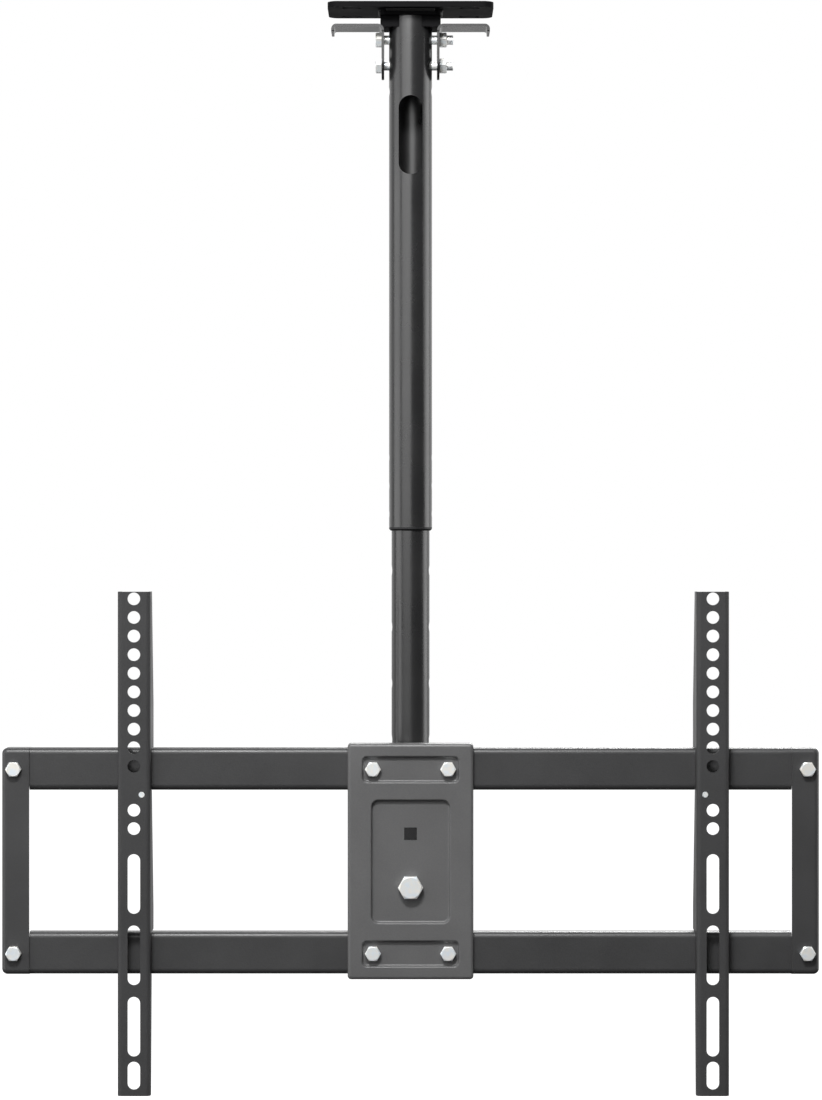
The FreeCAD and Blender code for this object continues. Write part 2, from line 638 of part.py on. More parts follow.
def safety_screw(mid_x, inner_side):
    """Screw through an arm's web that stops the arm from lifting off the upper rail."""
    x = mid_x + inner_side * SAFETY_X
    body = rod(x, ARM_FRONT - 0.5, safety_height(), Y_AXIS, M5 / 2, RAIL_REAR - ARM_FRONT)
    collar = hex_nut(x, ARM_FRONT + ARM_T, safety_height(), Y_AXIS, M5, 7.0, 3.0)
    return body, collar


def main():
    os.makedirs("parts", exist_ok=True)
    bracket = hanger_bracket()
    save("ceiling_plate", ceiling_plate())
    save("hanger_right", bracket)
    save("hanger_left", mirrored(bracket))
    save("neck_block", neck_block())
    hang_z = [HANG_BOLT_1, HANG_BOLT_1 - HANG_PITCH]
    hang_len = 2 * EAR_OUT + M8_NUT + 5.5
    save("hanger_bolts", *[hex_bolt(-EAR_OUT, 0, z, X_AXIS * -1, M8, M8_AF, M8_HEAD, hang_len) for z in hang_z])
    save("hanger_nuts", *[hex_nut(EAR_OUT, 0, z, X_AXIS, M8, M8_AF, M8_NUT) for z in hang_z])
    save("outer_tube", outer_tube())
    save("lower_bush", lower_bush())
    save("lock_bosses", *[lock_boss(z) for z in lock_screw_heights()])
    save("lock_screws", *[lock_screw(z) for z in lock_screw_heights()])
    save("upper_bush", upper_bush())
    save("inner_tube", inner_tube())
    save("tilt_pivot_bolt", tilt_bolt(PIVOT_Z))
    save("tilt_lock_bolt", tilt_bolt(TILT_Z))
    save("tilt_nuts", tilt_nut(PIVOT_Z), tilt_nut(TILT_Z))
    save("tilt_washers", *[tilt_washer(z, side) for z in (PIVOT_Z, TILT_Z) for side in (-1, 1)])
    save("head_bracket", head_bracket())
    save("centre_plate", centre_plate())
    save("centre_bolt", hex_bolt(0, RAIL_FRONT - FACE_T, CENTRE_Z, Y_AXIS * -1, M12, M12_AF, M12_HEAD,
                                 FACE_T + HEAD_T + M12_NUT + 2.0))
    save("centre_nut", hex_nut(0, HEAD_REAR, CENTRE_Z, Y_AXIS, M12, M12_AF, M12_NUT))
    save("rail_upper", rail(RAIL_TOP_Z))
    save("rail_lower", rail(RAIL_LOW_Z))
    end = end_bracket()
    save("end_bracket_right", end)
    save("end_bracket_left", mirrored(end))
    save("plate_bolts", *[frame_bolt(x, RAIL_FRONT - FACE_T, z) for x, z in rail_spots()])
    save("plate_nuts", *[frame_nut(x, z) for x, z in rail_spots()])
    save("end_bolts", *[frame_bolt(x, RAIL_FRONT - RAIL_T, z) for x, z in end_spots()])
    save("end_nuts", *[frame_nut(x, z) for x, z in end_spots()])
    for name, x, inner in (("left", ARM_X_LEFT, 1), ("right", ARM_X_RIGHT, -1)):
        save("arm_" + name, arm(x, inner))
        screw, nut = safety_screw(x, inner)
        save("safety_screw_" + name, screw)
        save("safety_nut_" + name, nut)


main()
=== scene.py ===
"""Finishes, small fastener detail and a studio stage for a ceiling television mount."""

import math

import bmesh
import bpy
from mathutils import Matrix, Vector


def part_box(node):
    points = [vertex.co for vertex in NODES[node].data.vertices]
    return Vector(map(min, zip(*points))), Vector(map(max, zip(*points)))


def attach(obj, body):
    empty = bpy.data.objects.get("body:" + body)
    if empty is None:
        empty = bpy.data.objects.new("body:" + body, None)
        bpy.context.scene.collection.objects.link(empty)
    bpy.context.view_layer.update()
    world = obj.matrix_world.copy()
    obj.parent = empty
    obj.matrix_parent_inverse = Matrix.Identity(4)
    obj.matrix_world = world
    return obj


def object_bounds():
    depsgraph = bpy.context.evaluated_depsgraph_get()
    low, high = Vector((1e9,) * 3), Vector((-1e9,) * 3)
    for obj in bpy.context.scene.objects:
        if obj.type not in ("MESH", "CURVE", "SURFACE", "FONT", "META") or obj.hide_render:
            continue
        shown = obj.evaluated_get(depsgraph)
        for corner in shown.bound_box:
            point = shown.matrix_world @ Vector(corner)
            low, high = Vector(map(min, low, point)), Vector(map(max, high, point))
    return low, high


bl_info = {
    "name": "Ceiling Television Mount Look",
    "version": (1, 0, 0),
    "blender": (4, 5, 0),
    "location": "View3D > Sidebar > Mount",
    "description": "Gives the mount its powder coat, zinc plating, threads, welds and stage",
    "category": "Object",
}

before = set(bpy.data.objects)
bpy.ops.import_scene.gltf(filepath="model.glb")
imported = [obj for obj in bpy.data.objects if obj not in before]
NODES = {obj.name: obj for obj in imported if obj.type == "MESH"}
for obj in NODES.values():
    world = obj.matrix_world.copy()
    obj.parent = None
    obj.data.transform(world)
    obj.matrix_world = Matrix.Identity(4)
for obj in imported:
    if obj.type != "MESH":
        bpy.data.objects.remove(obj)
CAD_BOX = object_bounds()

# Which nodes share a coat
PALE_COAT = ("centre_plate",)
ARM_COAT = ("arm_left", "arm_right")
RAIL_COAT = ("rail_upper", "rail_lower", "end_bracket_left", "end_bracket_right")
TUBE_COAT = ("outer_tube", "lock_bosses", "inner_tube")
# Near-black hanger coat: partly the brackets' own black coat, partly painted shade that darkens the ears'
# inner faces beside the tube
HANGER_COAT_AND_SHADE = ("hanger_left", "hanger_right", "head_bracket")
BLACK_COAT = ("ceiling_plate", "neck_block")
NYLON = ("lower_bush", "upper_bush")
PLATED = tuple(
    name for name in NODES
    if name.endswith(("_bolt", "_bolts", "_nut", "_nuts", "_washers", "_screws"))
    or name.startswith(("safety_screw", "safety_nut"))
)

# How finely the round pieces are divided
THREAD_STEPS = 24
WELD_SIDES = 12
RIPPLE_STEPS = 4

# How far a thread's sleeve reaches into the shank, in crests, and how wide a point of the shank may be
SLEEVE_CRESTS = 3.0
SHANK_SPREAD = 1.2

# Share of a bead's radius at its ends, share of a boss that its bead covers from the middle, and its lift
WELD_END = 0.4
BOSS_WELD_REACH = 0.36
BOSS_WELD_LIFT = 0.0008

# Points nearer than this are one point, and a bolt nearer than this to a nut's axis is in that nut
SAME_POINT = 1e-6
SAME_AXIS = 0.001

# Powder coat: where a noise mostly lies, the clouds' size, and how far clouds and dimples change the coat
NOISE_SPAN = (0.3, 0.7)
CLOUD_SCALE = 14.0
CLOUD_TONE = 0.07
DIMPLE_TONE = 0.05
CLOUD_ROUGHNESS = 0.05

# Zinc plating: size, spread and tints of the bloom, and size, stretch and gloss of the scratches
BLOOM_SCALE = 160.0
BLOOM_SPAN = (0.35, 0.65)
BLOOM_BLUE = (0.90, 0.96, 1.0, 1.0)
BLOOM_YELLOW = (1.0, 0.97, 0.90, 1.0)
SCRATCH_SCALE = 2600.0
SCRATCH_STRETCH = (1.0, 1.0, 0.12)
SCRATCH_ROUGHNESS = 0.08

# Camera: sensor height in millimetres, and how far it sees in metres
SENSOR_HEIGHT = 36.0
SIGHT = 100.0

# Softboxes: name, place, width and height in metres, and the setting of the power
SOFTBOXES = (
    ("key_light", (-1.3, -3.1, 0.55), 3.4, 2.4, "key_power"),
    ("top_light", (-0.3, -1.6, 1.05), 0.6, 0.35, "top_power"),
    ("right_light", (2.2, 0.4, -0.3), 1.3, 1.8, "right_power"),
    ("left_light", (-2.3, -0.5, -0.5), 1.8, 1.8, "left_power"),
    ("rear_light", (0.8, 2.4, 1.5), 1.6, 1.2, "rear_power"),
)

# Floor: its colour to the eye and as a light, where its white rises round the pole, and its glow behind
FLOOR_PALE = (0.3, 0.3, 0.3, 1.0)
FLOOR_DARK = (0.03, 0.03, 0.03, 1.0)
FLOOR_ROUGHNESS = 0.9
SHADOW_SPAN = (0.8, 2.6)
SHADOW_WHITE = 0.8
BEHIND_SPAN = (1.5, 4.0)

# Room: light from below, and how its light rises towards the ceiling and towards the white wall behind
WHITE = (1.0, 1.0, 1.0, 1.0)
ROOM_LOW = 0.03
CEILING_SPAN = (0.0, 0.7)
WALL_SPAN = (0.2, 0.8)
WALL_LIGHT = 0.9


# Settings

class CoatSettings(bpy.types.PropertyGroup):
    """Colours and grain of the powder coat"""

    pale: bpy.props.FloatVectorProperty(
        name="Centre plate", description="Coat of the pressed centre plate",
        subtype="COLOR", size=3, min=0.0, max=1.0, default=(0.112, 0.112, 0.113))
    arm: bpy.props.FloatVectorProperty(
        name="Arms", description="Coat of the two screen arms",
        subtype="COLOR", size=3, min=0.0, max=1.0, default=(0.053, 0.053, 0.054))
    rail: bpy.props.FloatVectorProperty(
        name="Rails", description="Coat of the rails and the end brackets",
        subtype="COLOR", size=3, min=0.0, max=1.0, default=(0.044, 0.044, 0.045))
    tube: bpy.props.FloatVectorProperty(
        name="Tubes", description="Coat of the two tubes",
        subtype="COLOR", size=3, min=0.0, max=1.0, default=(0.016, 0.016, 0.0165))
    # Kept near black partly as painted shade on the ears' inner faces, which face the tube
    hanger: bpy.props.FloatVectorProperty(
        name="Hanger brackets", description="Coat of the hanger brackets and the tilting head",
        subtype="COLOR", size=3, min=0.0, max=1.0, default=(0.012, 0.012, 0.0125))
    black: bpy.props.FloatVectorProperty(
        name="Ceiling plate", description="Coat of the ceiling plate and the neck block",
        subtype="COLOR", size=3, min=0.0, max=1.0, default=(0.005, 0.005, 0.0055))
    grain: bpy.props.FloatProperty(
        name="Grain", description="Width of one dimple of the coat",
        default=0.0012, min=0.0001, unit="LENGTH")
    depth: bpy.props.FloatProperty(
        name="Depth", description="Depth of the dimples on the bent sheets",
        default=0.00005, min=0.0, unit="LENGTH")
    tube_depth: bpy.props.FloatProperty(
        name="Tube depth", description="Depth of the dimples on the tubes",
        default=0.000015, min=0.0, unit="LENGTH")
    roughness: bpy.props.FloatProperty(
        name="Roughness", description="Mean roughness of the coat on the bent sheets",
        default=0.4, min=0.0, max=1.0, subtype="FACTOR")
    tube_roughness: bpy.props.FloatProperty(
        name="Tube roughness", description="Mean roughness of the smoother coat on the tubes",
        default=0.27, min=0.0, max=1.0, subtype="FACTOR")
    black_roughness: bpy.props.FloatProperty(
        name="Ceiling plate roughness",
        description="Mean roughness of the dull coat on the ceiling plate",
        default=0.6, min=0.0, max=1.0, subtype="FACTOR")
    gloss: bpy.props.FloatProperty(
        name="Gloss", description="Strength of the reflection on the bent sheets",
        default=0.5, min=0.0, max=1.0, subtype="FACTOR")
    arm_gloss: bpy.props.FloatProperty(
        name="Arm gloss", description="Strength of the reflection on the arms",
        default=0.15, min=0.0, max=1.0, subtype="FACTOR")
    tube_gloss: bpy.props.FloatProperty(
        name="Tube gloss", description="Strength of the reflection on the tubes",
        default=1.0, min=0.0, max=1.0, subtype="FACTOR")
    black_gloss: bpy.props.FloatProperty(
        name="Ceiling plate gloss", description="Strength of the reflection on the ceiling plate",
        default=0.06, min=0.0, max=1.0, subtype="FACTOR")


class PlatingSettings(bpy.types.PropertyGroup):
    """Zinc plating and the cut threads"""

    # Near white and only partly metallic: partly the zinc's own pale grey, partly a painted sheen that makes
    # the plated heads render diffusely white where shiny plating would flare
    colour: bpy.props.FloatVectorProperty(
        name="Zinc", description="Colour of the plating",
        subtype="COLOR", size=3, min=0.0, max=1.0, default=(0.95, 0.955, 0.96))
    roughness: bpy.props.FloatProperty(
        name="Roughness", description="Mean roughness of the plating",
        default=0.36, min=0.0, max=1.0, subtype="FACTOR")
    metallic: bpy.props.FloatProperty(
        name="Metallic", description="How far the plating reflects like bare metal",
        default=0.42, min=0.0, max=1.0, subtype="FACTOR")
    depth: bpy.props.FloatProperty(
        name="Scratch depth", description="Depth of the fine scratches",
        default=0.00001, min=0.0, unit="LENGTH")
    pitch: bpy.props.FloatProperty(
        name="Thread pitch",
        description="Distance between two thread crests, as a share of the thread's width",
        default=0.156, min=0.02, max=0.5, subtype="FACTOR")
    crest: bpy.props.FloatProperty(
        name="Thread crest",
        description="Height of a crest over the shank, as a share of the thread's width",
        default=0.028, min=0.0, max=0.1, subtype="FACTOR")


class WeldSettings(bpy.types.PropertyGroup):
    """Fillet welds"""

    radius: bpy.props.FloatProperty(
        name="Bead radius", description="Mean radius of a weld bead",
        default=0.0021, min=0.0002, unit="LENGTH")
    ripple: bpy.props.FloatProperty(
        name="Ripple", description="Share of the radius by which the bead swells",
        default=0.07, min=0.0, max=0.5, subtype="FACTOR")
    step: bpy.props.FloatProperty(
        name="Ripple length", description="Length of one ripple of the bead",
        default=0.0022, min=0.0002, unit="LENGTH")
    inset: bpy.props.FloatProperty(
        name="Inset", description="Length left free of weld at each corner of the neck block",
        default=0.005, min=0.0, unit="LENGTH")


class NylonSettings(bpy.types.PropertyGroup):
    """Black nylon of the guide bushes"""

    colour: bpy.props.FloatVectorProperty(
        name="Nylon", description="Colour of the bushes",
        subtype="COLOR", size=3, min=0.0, max=1.0, default=(0.012, 0.012, 0.013))
    roughness: bpy.props.FloatProperty(
        name="Roughness", description="Mean roughness of the nylon",
        default=0.5, min=0.0, max=1.0, subtype="FACTOR")
    grain: bpy.props.FloatProperty(
        name="Grain", description="Width of one dimple of the moulded face",
        default=0.0006, min=0.0001, unit="LENGTH")
    depth: bpy.props.FloatProperty(
        name="Depth", description="Depth of the dimples",
        default=0.00003, min=0.0, unit="LENGTH")


class StageSettings(bpy.types.PropertyGroup):
    """Camera, floor and light"""

    distance: bpy.props.FloatProperty(
        name="Camera distance", description="From the pole's axis to the camera",
        default=2.9, min=0.2, unit="LENGTH")
    camera_x: bpy.props.FloatProperty(
        name="Camera side", description="Camera's place to the side of the pole's axis",
        default=0.0004, unit="LENGTH")
    camera_z: bpy.props.FloatProperty(
        name="Camera height", description="Camera's height, measured from the ceiling",
        default=-0.4817, unit="LENGTH")
    lens: bpy.props.FloatProperty(
        name="Lens", description="Focal length in millimetres",
        default=107.0, min=10.0)
    floor_drop: bpy.props.FloatProperty(
        name="Floor drop", description="From the lowest piece down to the floor",
        default=0.6, min=0.0, unit="LENGTH")
    floor_size: bpy.props.FloatProperty(
        name="Floor size", description="Side of the floor",
        default=30.0, min=1.0, unit="LENGTH")
    key_power: bpy.props.FloatProperty(
        name="Key light", description="Power of the wide softbox at the front left",
        default=43.0, min=0.0, unit="POWER")
    top_power: bpy.props.FloatProperty(
        name="Top light", description="Power of the softbox overhead",
        default=53.0, min=0.0, unit="POWER")
    right_power: bpy.props.FloatProperty(
        name="Right light", description="Power of the upright softbox at the right",
        default=15.0, min=0.0, unit="POWER")
    left_power: bpy.props.FloatProperty(
        name="Left light", description="Power of the upright softbox at the left",
        default=17.0, min=0.0, unit="POWER")
    rear_power: bpy.props.FloatProperty(
        name="Rear light", description="Power of the softbox above and behind",
        default=120.0, min=0.0, unit="POWER")
    fill: bpy.props.FloatProperty(
        name="Fill", description="Even light from the room",
        default=0.4, min=0.0)
    backdrop: bpy.props.FloatProperty(
        name="Backdrop", description="Light of the far floor behind the mount",
        default=0.4, min=0.0)


# Node helpers

def add_node(tree, kind, **inputs):
    """A new node, with plain values set on the sockets that are named."""
    node = tree.nodes.new(kind)
    for name, value in inputs.items():
        node.inputs[name.replace("_", " ")].default_value = value
    return node


def maths(tree, operation, first, second):
    """The output of a Math node that joins two outputs."""
    node = tree.nodes.new("ShaderNodeMath")
    node.operation = operation
    tree.links.new(first, node.inputs[0])
    tree.links.new(second, node.inputs[1])
    return node.outputs[0]


def ramp(tree, value, span, low, high):
    """The output of a Map Range node that turns a span of an output into low to high."""
    node = add_node(
        tree, "ShaderNodeMapRange", From_Min=span[0], From_Max=span[1], To_Min=low, To_Max=high)
    tree.links.new(value, node.inputs["Value"])
    return node.outputs[0]


def noise(tree, vector, **inputs):
    """A noise texture over some coordinates."""
    node = add_node(tree, "ShaderNodeTexNoise", **inputs)
    tree.links.new(vector, node.inputs["Vector"])
    return node


def axes(tree, vector):
    """The X, Y and Z outputs of some coordinates."""
    node = tree.nodes.new("ShaderNodeSeparateXYZ")
    tree.links.new(vector, node.inputs[0])
    return node.outputs


def new_group(name, inputs, outputs):
    """A shader node group with the named float, vector and colour sockets."""
    group = bpy.data.node_groups.new(name, "ShaderNodeTree")
    kinds = {"float": "NodeSocketFloat", "vector": "NodeSocketVector", "colour": "NodeSocketColor"}
    for label, kind in inputs:
        group.interface.new_socket(label, in_out="INPUT", socket_type=kinds[kind])
    for label, kind in outputs:
        group.interface.new_socket(label, in_out="OUTPUT", socket_type=kinds[kind])
    return group, group.nodes.new("NodeGroupInput"), group.nodes.new("NodeGroupOutput")


def coat_group():
    """Dimples, cloudy tone and uneven gloss of a sprayed and baked powder coat."""
    group, given, out = new_group(
        "powder_coat",
        [("Vector", "vector"), ("Colour", "colour"), ("Scale", "float"), ("Roughness", "float")],
        [("Colour", "colour"), ("Roughness", "float"), ("Height", "float")])
    link = group.links.new
    dimples = noise(group, given.outputs["Vector"], Detail=2.0, Roughness=0.45)
    link(given.outputs["Scale"], dimples.inputs["Scale"])
    cloud = noise(group, given.outputs["Vector"], Scale=CLOUD_SCALE, Detail=4.0, Roughness=0.6)
    tone = ramp(group, cloud.outputs["Fac"], NOISE_SPAN, 1.0 - CLOUD_TONE, 1.0 + CLOUD_TONE)
    speck = ramp(group, dimples.outputs["Fac"], NOISE_SPAN, 1.0 - DIMPLE_TONE, 1.0 + DIMPLE_TONE)
    shade = group.nodes.new("ShaderNodeVectorMath")
    shade.operation = "SCALE"
    link(given.outputs["Colour"], shade.inputs[0])
    link(maths(group, "MULTIPLY", tone, speck), shade.inputs["Scale"])
    uneven = ramp(group, cloud.outputs["Fac"], NOISE_SPAN, -CLOUD_ROUGHNESS, CLOUD_ROUGHNESS)
    link(shade.outputs[0], out.inputs["Colour"])
    link(maths(group, "ADD", given.outputs["Roughness"], uneven), out.inputs["Roughness"])
    link(dimples.outputs["Fac"], out.inputs["Height"])
    return group


def zinc_group():
    """Fine scratches and the faint blue and yellow bloom of clear zinc plating."""
    group, given, out = new_group(
        "zinc_plating",
        [("Vector", "vector"), ("Colour", "colour"), ("Roughness", "float")],
        [("Colour", "colour"), ("Roughness", "float"), ("Height", "float")])
    link = group.links.new
    bloom = noise(group, given.outputs["Vector"], Scale=BLOOM_SCALE, Detail=2.0)
    tints = group.nodes.new("ShaderNodeValToRGB")
    for stop, place, tint in zip(tints.color_ramp.elements, BLOOM_SPAN, (BLOOM_BLUE, BLOOM_YELLOW)):
        stop.position = place
        stop.color = tint
    link(bloom.outputs["Fac"], tints.inputs["Fac"])
    tinted = group.nodes.new("ShaderNodeVectorMath")
    tinted.operation = "MULTIPLY"
    link(given.outputs["Colour"], tinted.inputs[0])
    link(tints.outputs["Color"], tinted.inputs[1])
    stretch = add_node(group, "ShaderNodeMapping", Scale=SCRATCH_STRETCH)
    link(given.outputs["Vector"], stretch.inputs["Vector"])
    scratch = noise(group, stretch.outputs[0], Scale=SCRATCH_SCALE, Detail=3.0, Roughness=0.6)
    uneven = ramp(group, scratch.outputs["Fac"], NOISE_SPAN, -SCRATCH_ROUGHNESS, SCRATCH_ROUGHNESS)
    link(tinted.outputs[0], out.inputs["Colour"])
    link(maths(group, "ADD", given.outputs["Roughness"], uneven), out.inputs["Roughness"])
    link(scratch.outputs["Fac"], out.inputs["Height"])
    return group


def surface(name, group, colour, depth, roughness, metallic=0.0, specular=0.5, grain=None):
    """A material whose colour, gloss and bumps come from a shared group."""
    material = bpy.data.materials.new(name)
    material.use_nodes = True
    material.diffuse_color = (*colour, 1.0)
    tree = material.node_tree
    link = tree.links.new
    shader = tree.nodes["Principled BSDF"]
    shader.inputs["Metallic"].default_value = metallic
    shader.inputs["Specular IOR Level"].default_value = specular
    place = tree.nodes.new("ShaderNodeTexCoord")
    effect = tree.nodes.new("ShaderNodeGroup")
    effect.node_tree = group
    effect.inputs["Colour"].default_value = (*colour, 1.0)
    effect.inputs["Roughness"].default_value = roughness
    if grain is not None:
        effect.inputs["Scale"].default_value = 1.0 / grain
    bump = add_node(tree, "ShaderNodeBump", Strength=1.0, Distance=depth)
    link(place.outputs["Object"], effect.inputs["Vector"])
    link(effect.outputs["Colour"], shader.inputs["Base Color"])
    link(effect.outputs["Roughness"], shader.inputs["Roughness"])
    link(effect.outputs["Height"], bump.inputs["Height"])
    link(bump.outputs["Normal"], shader.inputs["Normal"])
    return material


def paint(names, material):
    """Puts one material on every named node."""
    for name in names:
        if name not in NODES:
            raise RuntimeError(f"the frame has no node named {name}")
        mesh = NODES[name].data
        mesh.materials.clear()
        mesh.materials.append(material)


# Mesh helpers

def new_piece(name, bm, material, body):
    """Turns a bmesh into a piece that rides on a body and takes a colour slot."""
    bmesh.ops.recalc_face_normals(bm, faces=bm.faces)
    mesh = bpy.data.meshes.new(name)
    bm.to_mesh(mesh)
    bm.free()
    for face in mesh.polygons:
        face.use_smooth = True
    mesh.materials.append(material)
    piece = bpy.data.objects.new(name, mesh)
    bpy.context.scene.collection.objects.link(piece)
    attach(piece, body)
    return piece


def add_thread(bm, start, end, radius, pitch, crest):
    """A closed sleeve of thread ridges round the straight line between two points."""
    axis = (end - start).normalized()
    side = axis.orthogonal().normalized()
    halves = 2 * max(1, int((end - start).length / pitch))
    profile = []
    for half in range(halves + 1):
        height = crest if half % 2 else -crest
        profile.append(start + axis * (half * pitch / 2) + side * (radius + height))
    for half in (halves, 0):
        profile.append(start + axis * (half * pitch / 2) + side * (radius - SLEEVE_CRESTS * crest))
    ring = [bm.verts.new(point) for point in profile]
    edges = [bm.edges.new(pair) for pair in zip(ring, ring[1:] + ring[:1])]
    bmesh.ops.spin(
        bm, geom=ring + edges, cent=start, axis=axis, angle=math.tau,
        steps=THREAD_STEPS, use_merge=True, use_duplicate=False)


def add_weld(bm, start, end, weld):
    """A rippled bead along the straight line between two points."""
    axis = (end - start).normalized()
    turn = Vector((0.0, 0.0, 1.0)).rotation_difference(axis).to_matrix().to_4x4()
    count = RIPPLE_STEPS * max(1, round((end - start).length / weld.step))
    radius = weld.radius * WELD_END
    ring = bmesh.ops.create_circle(
        bm, cap_ends=True, segments=WELD_SIDES, radius=radius, matrix=Matrix.Translation(start) @ turn)
    loop = list(dict.fromkeys(edge for vert in ring["verts"] for edge in vert.link_edges))
    for index in range(1, count + 1):
        swell = 1.0 + weld.ripple * math.sin(math.tau * index / RIPPLE_STEPS)
        taper = WELD_END if index == count else 1.0
        wanted = weld.radius * swell * taper
        made = bmesh.ops.extrude_edge_only(bm, edges=loop)["geom"]
        verts = [item for item in made if isinstance(item, bmesh.types.BMVert)]
        loop = [item for item in made if isinstance(item, bmesh.types.BMEdge)]
        centre = start + (end - start) * (index / count)
        bmesh.ops.translate(bm, verts=verts, vec=(end - start) / count)
        bmesh.ops.scale(
            bm, verts=verts, vec=Vector((1.0, 1.0, 1.0)) * (wanted / radius),
            space=Matrix.Translation(-centre))
        radius = wanted
    bmesh.ops.contextual_create(bm, geom=loop)


def solids(node):
    """The points of each separate solid of a node, sorted by place."""
    bm = bmesh.new()
    bm.from_mesh(NODES[node].data)
    bmesh.ops.remove_doubles(bm, verts=bm.verts, dist=SAME_POINT)
    left = set(bm.verts)
    found = []
    while left:
        stack = [left.pop()]
        points = []
        while stack:
            vert = stack.pop()
            points.append(vert.co.copy())
            for edge in vert.link_edges:
                other = edge.other_vert(vert)
                if other in left:
                    left.remove(other)
                    stack.append(other)
        found.append(points)
    bm.free()
    return sorted(found, key=lambda points: [round(value, 6) for value in corners(points)[0]])


def corners(points):
    """Lowest and highest corner of the box round some points."""
    low = Vector([min(point[i] for point in points) for i in range(3)])
    high = Vector([max(point[i] for point in points) for i in range(3)])
    return low, high


# Operators

class MOUNT_OT_coats(bpy.types.Operator):
    """Powder coat on the plates, rails, arms and tubes"""

    bl_idname = "mount.coats"
    bl_label = "Powder Coats"

    def execute(self, context):
        coat = context.scene.mount_coat
        group = coat_group()
        for name, nodes, colour, depth, roughness, gloss in (
            ("pale_coat", PALE_COAT, coat.pale, coat.depth, coat.roughness, coat.gloss),
            ("arm_coat", ARM_COAT, coat.arm, coat.depth, coat.roughness, coat.arm_gloss),
            ("rail_coat", RAIL_COAT, coat.rail, coat.depth, coat.roughness, coat.gloss),
            ("tube_coat", TUBE_COAT, coat.tube, coat.tube_depth, coat.tube_roughness, coat.tube_gloss),
            # The hanger coat's near-black colour is partly painted shade on the ears' inner faces
            ("hanger_coat", HANGER_COAT_AND_SHADE, coat.hanger, coat.tube_depth, coat.tube_roughness, coat.tube_gloss),
            ("black_coat", BLACK_COAT, coat.black, coat.depth, coat.black_roughness, coat.black_gloss),
        ):
            finish = surface(
                name, group, colour, depth, roughness, specular=gloss, grain=coat.grain)
            paint(nodes, finish)
        return {"FINISHED"}


class MOUNT_OT_plating(bpy.types.Operator):
    """Zinc plating on the bolts, nuts, screws and washers"""

    bl_idname = "mount.plating"
    bl_label = "Zinc Plating"

    def execute(self, context):
        zinc = context.scene.mount_plating
        # The near-white colour and low metallic share paint part of the plating's sheen in as diffuse white
        finish = surface(
            "zinc", zinc_group(), zinc.colour, zinc.depth, zinc.roughness, metallic=zinc.metallic)
        paint(PLATED, finish)
        return {"FINISHED"}


class MOUNT_OT_bushes(bpy.types.Operator):
    """Black nylon on the guide bushes"""

    bl_idname = "mount.bushes"
    bl_label = "Nylon Bushes"

    def execute(self, context):
        nylon = context.scene.mount_nylon
        group = bpy.data.node_groups.get("powder_coat")
        if group is None:
            raise RuntimeError("the powder coats come before the bushes")
        finish = surface(
            "nylon", group, nylon.colour, nylon.depth, nylon.roughness, grain=nylon.grain)
        paint(NYLON, finish)
        return {"FINISHED"}


class MOUNT_OT_threads(bpy.types.Operator):
    """Thread ridges where the bolts stand out of their nuts"""

    bl_idname = "mount.threads"
    bl_label = "Bolt Threads"

    def execute(self, context):
        zinc = context.scene.mount_plating
        material = bpy.data.materials.get("zinc")
        if material is None:
            raise RuntimeError("the plating comes before the threads")
        # the bolts, the nuts or bosses they stand in, their body and the axis they lie along
        for name, bolts, seats, body, axis in (
            ("hanger_threads", ("hanger_bolts",), ("hanger_nuts",), "hanger", 0),
            ("lock_threads", ("lock_screws",), ("lock_bosses",), "hanger", 1),
            ("tilt_threads", ("tilt_pivot_bolt", "tilt_lock_bolt"), ("tilt_nuts",), "pole", 0),
            ("frame_threads", ("plate_bolts", "end_bolts", "centre_bolt"),
             ("plate_nuts", "end_nuts", "centre_nut"), "frame", 1),
            ("safety_threads_left", ("safety_screw_left",), ("safety_nut_left",), "left_arm", 1),
            ("safety_threads_right", ("safety_screw_right",), ("safety_nut_right",), "right_arm", 1),
        ):
            shafts = [points for node in bolts for points in solids(node)]
            bm = bmesh.new()
            for low, high in [corners(points) for node in seats for points in solids(node)]:
                self.cut(bm, low, high, shafts, axis, zinc)
            new_piece(name, bm, material, body)
        return {"FINISHED"}

    def cut(self, bm, low, high, shafts, axis, zinc):
        """The thread on the part of a bolt that stands out of one nut or boss."""
        others = [i for i in range(3) if i != axis]
        centre = (low + high) / 2
        inside = []
        for points in shafts:
            bottom, top = corners(points)
            middle = (bottom + top) / 2
            near = all(abs(middle[i] - centre[i]) < SAME_AXIS for i in others)
            if near and bottom[axis] < high[axis] < top[axis]:
                inside.append(points)
        if len(inside) != 1:
            raise RuntimeError(f"a nut has {len(inside)} bolts")
        rings = [
            (point[axis], math.hypot(*(point[i] - centre[i] for i in others)))
            for point in inside[0]
        ]
        radius = min(width for along, width in rings)
        start = centre.copy()
        start[axis] = high[axis]
        end = centre.copy()
        end[axis] = max(along for along, width in rings if width < SHANK_SPREAD * radius)
        add_thread(bm, start, end, radius, 2 * radius * zinc.pitch, 2 * radius * zinc.crest)


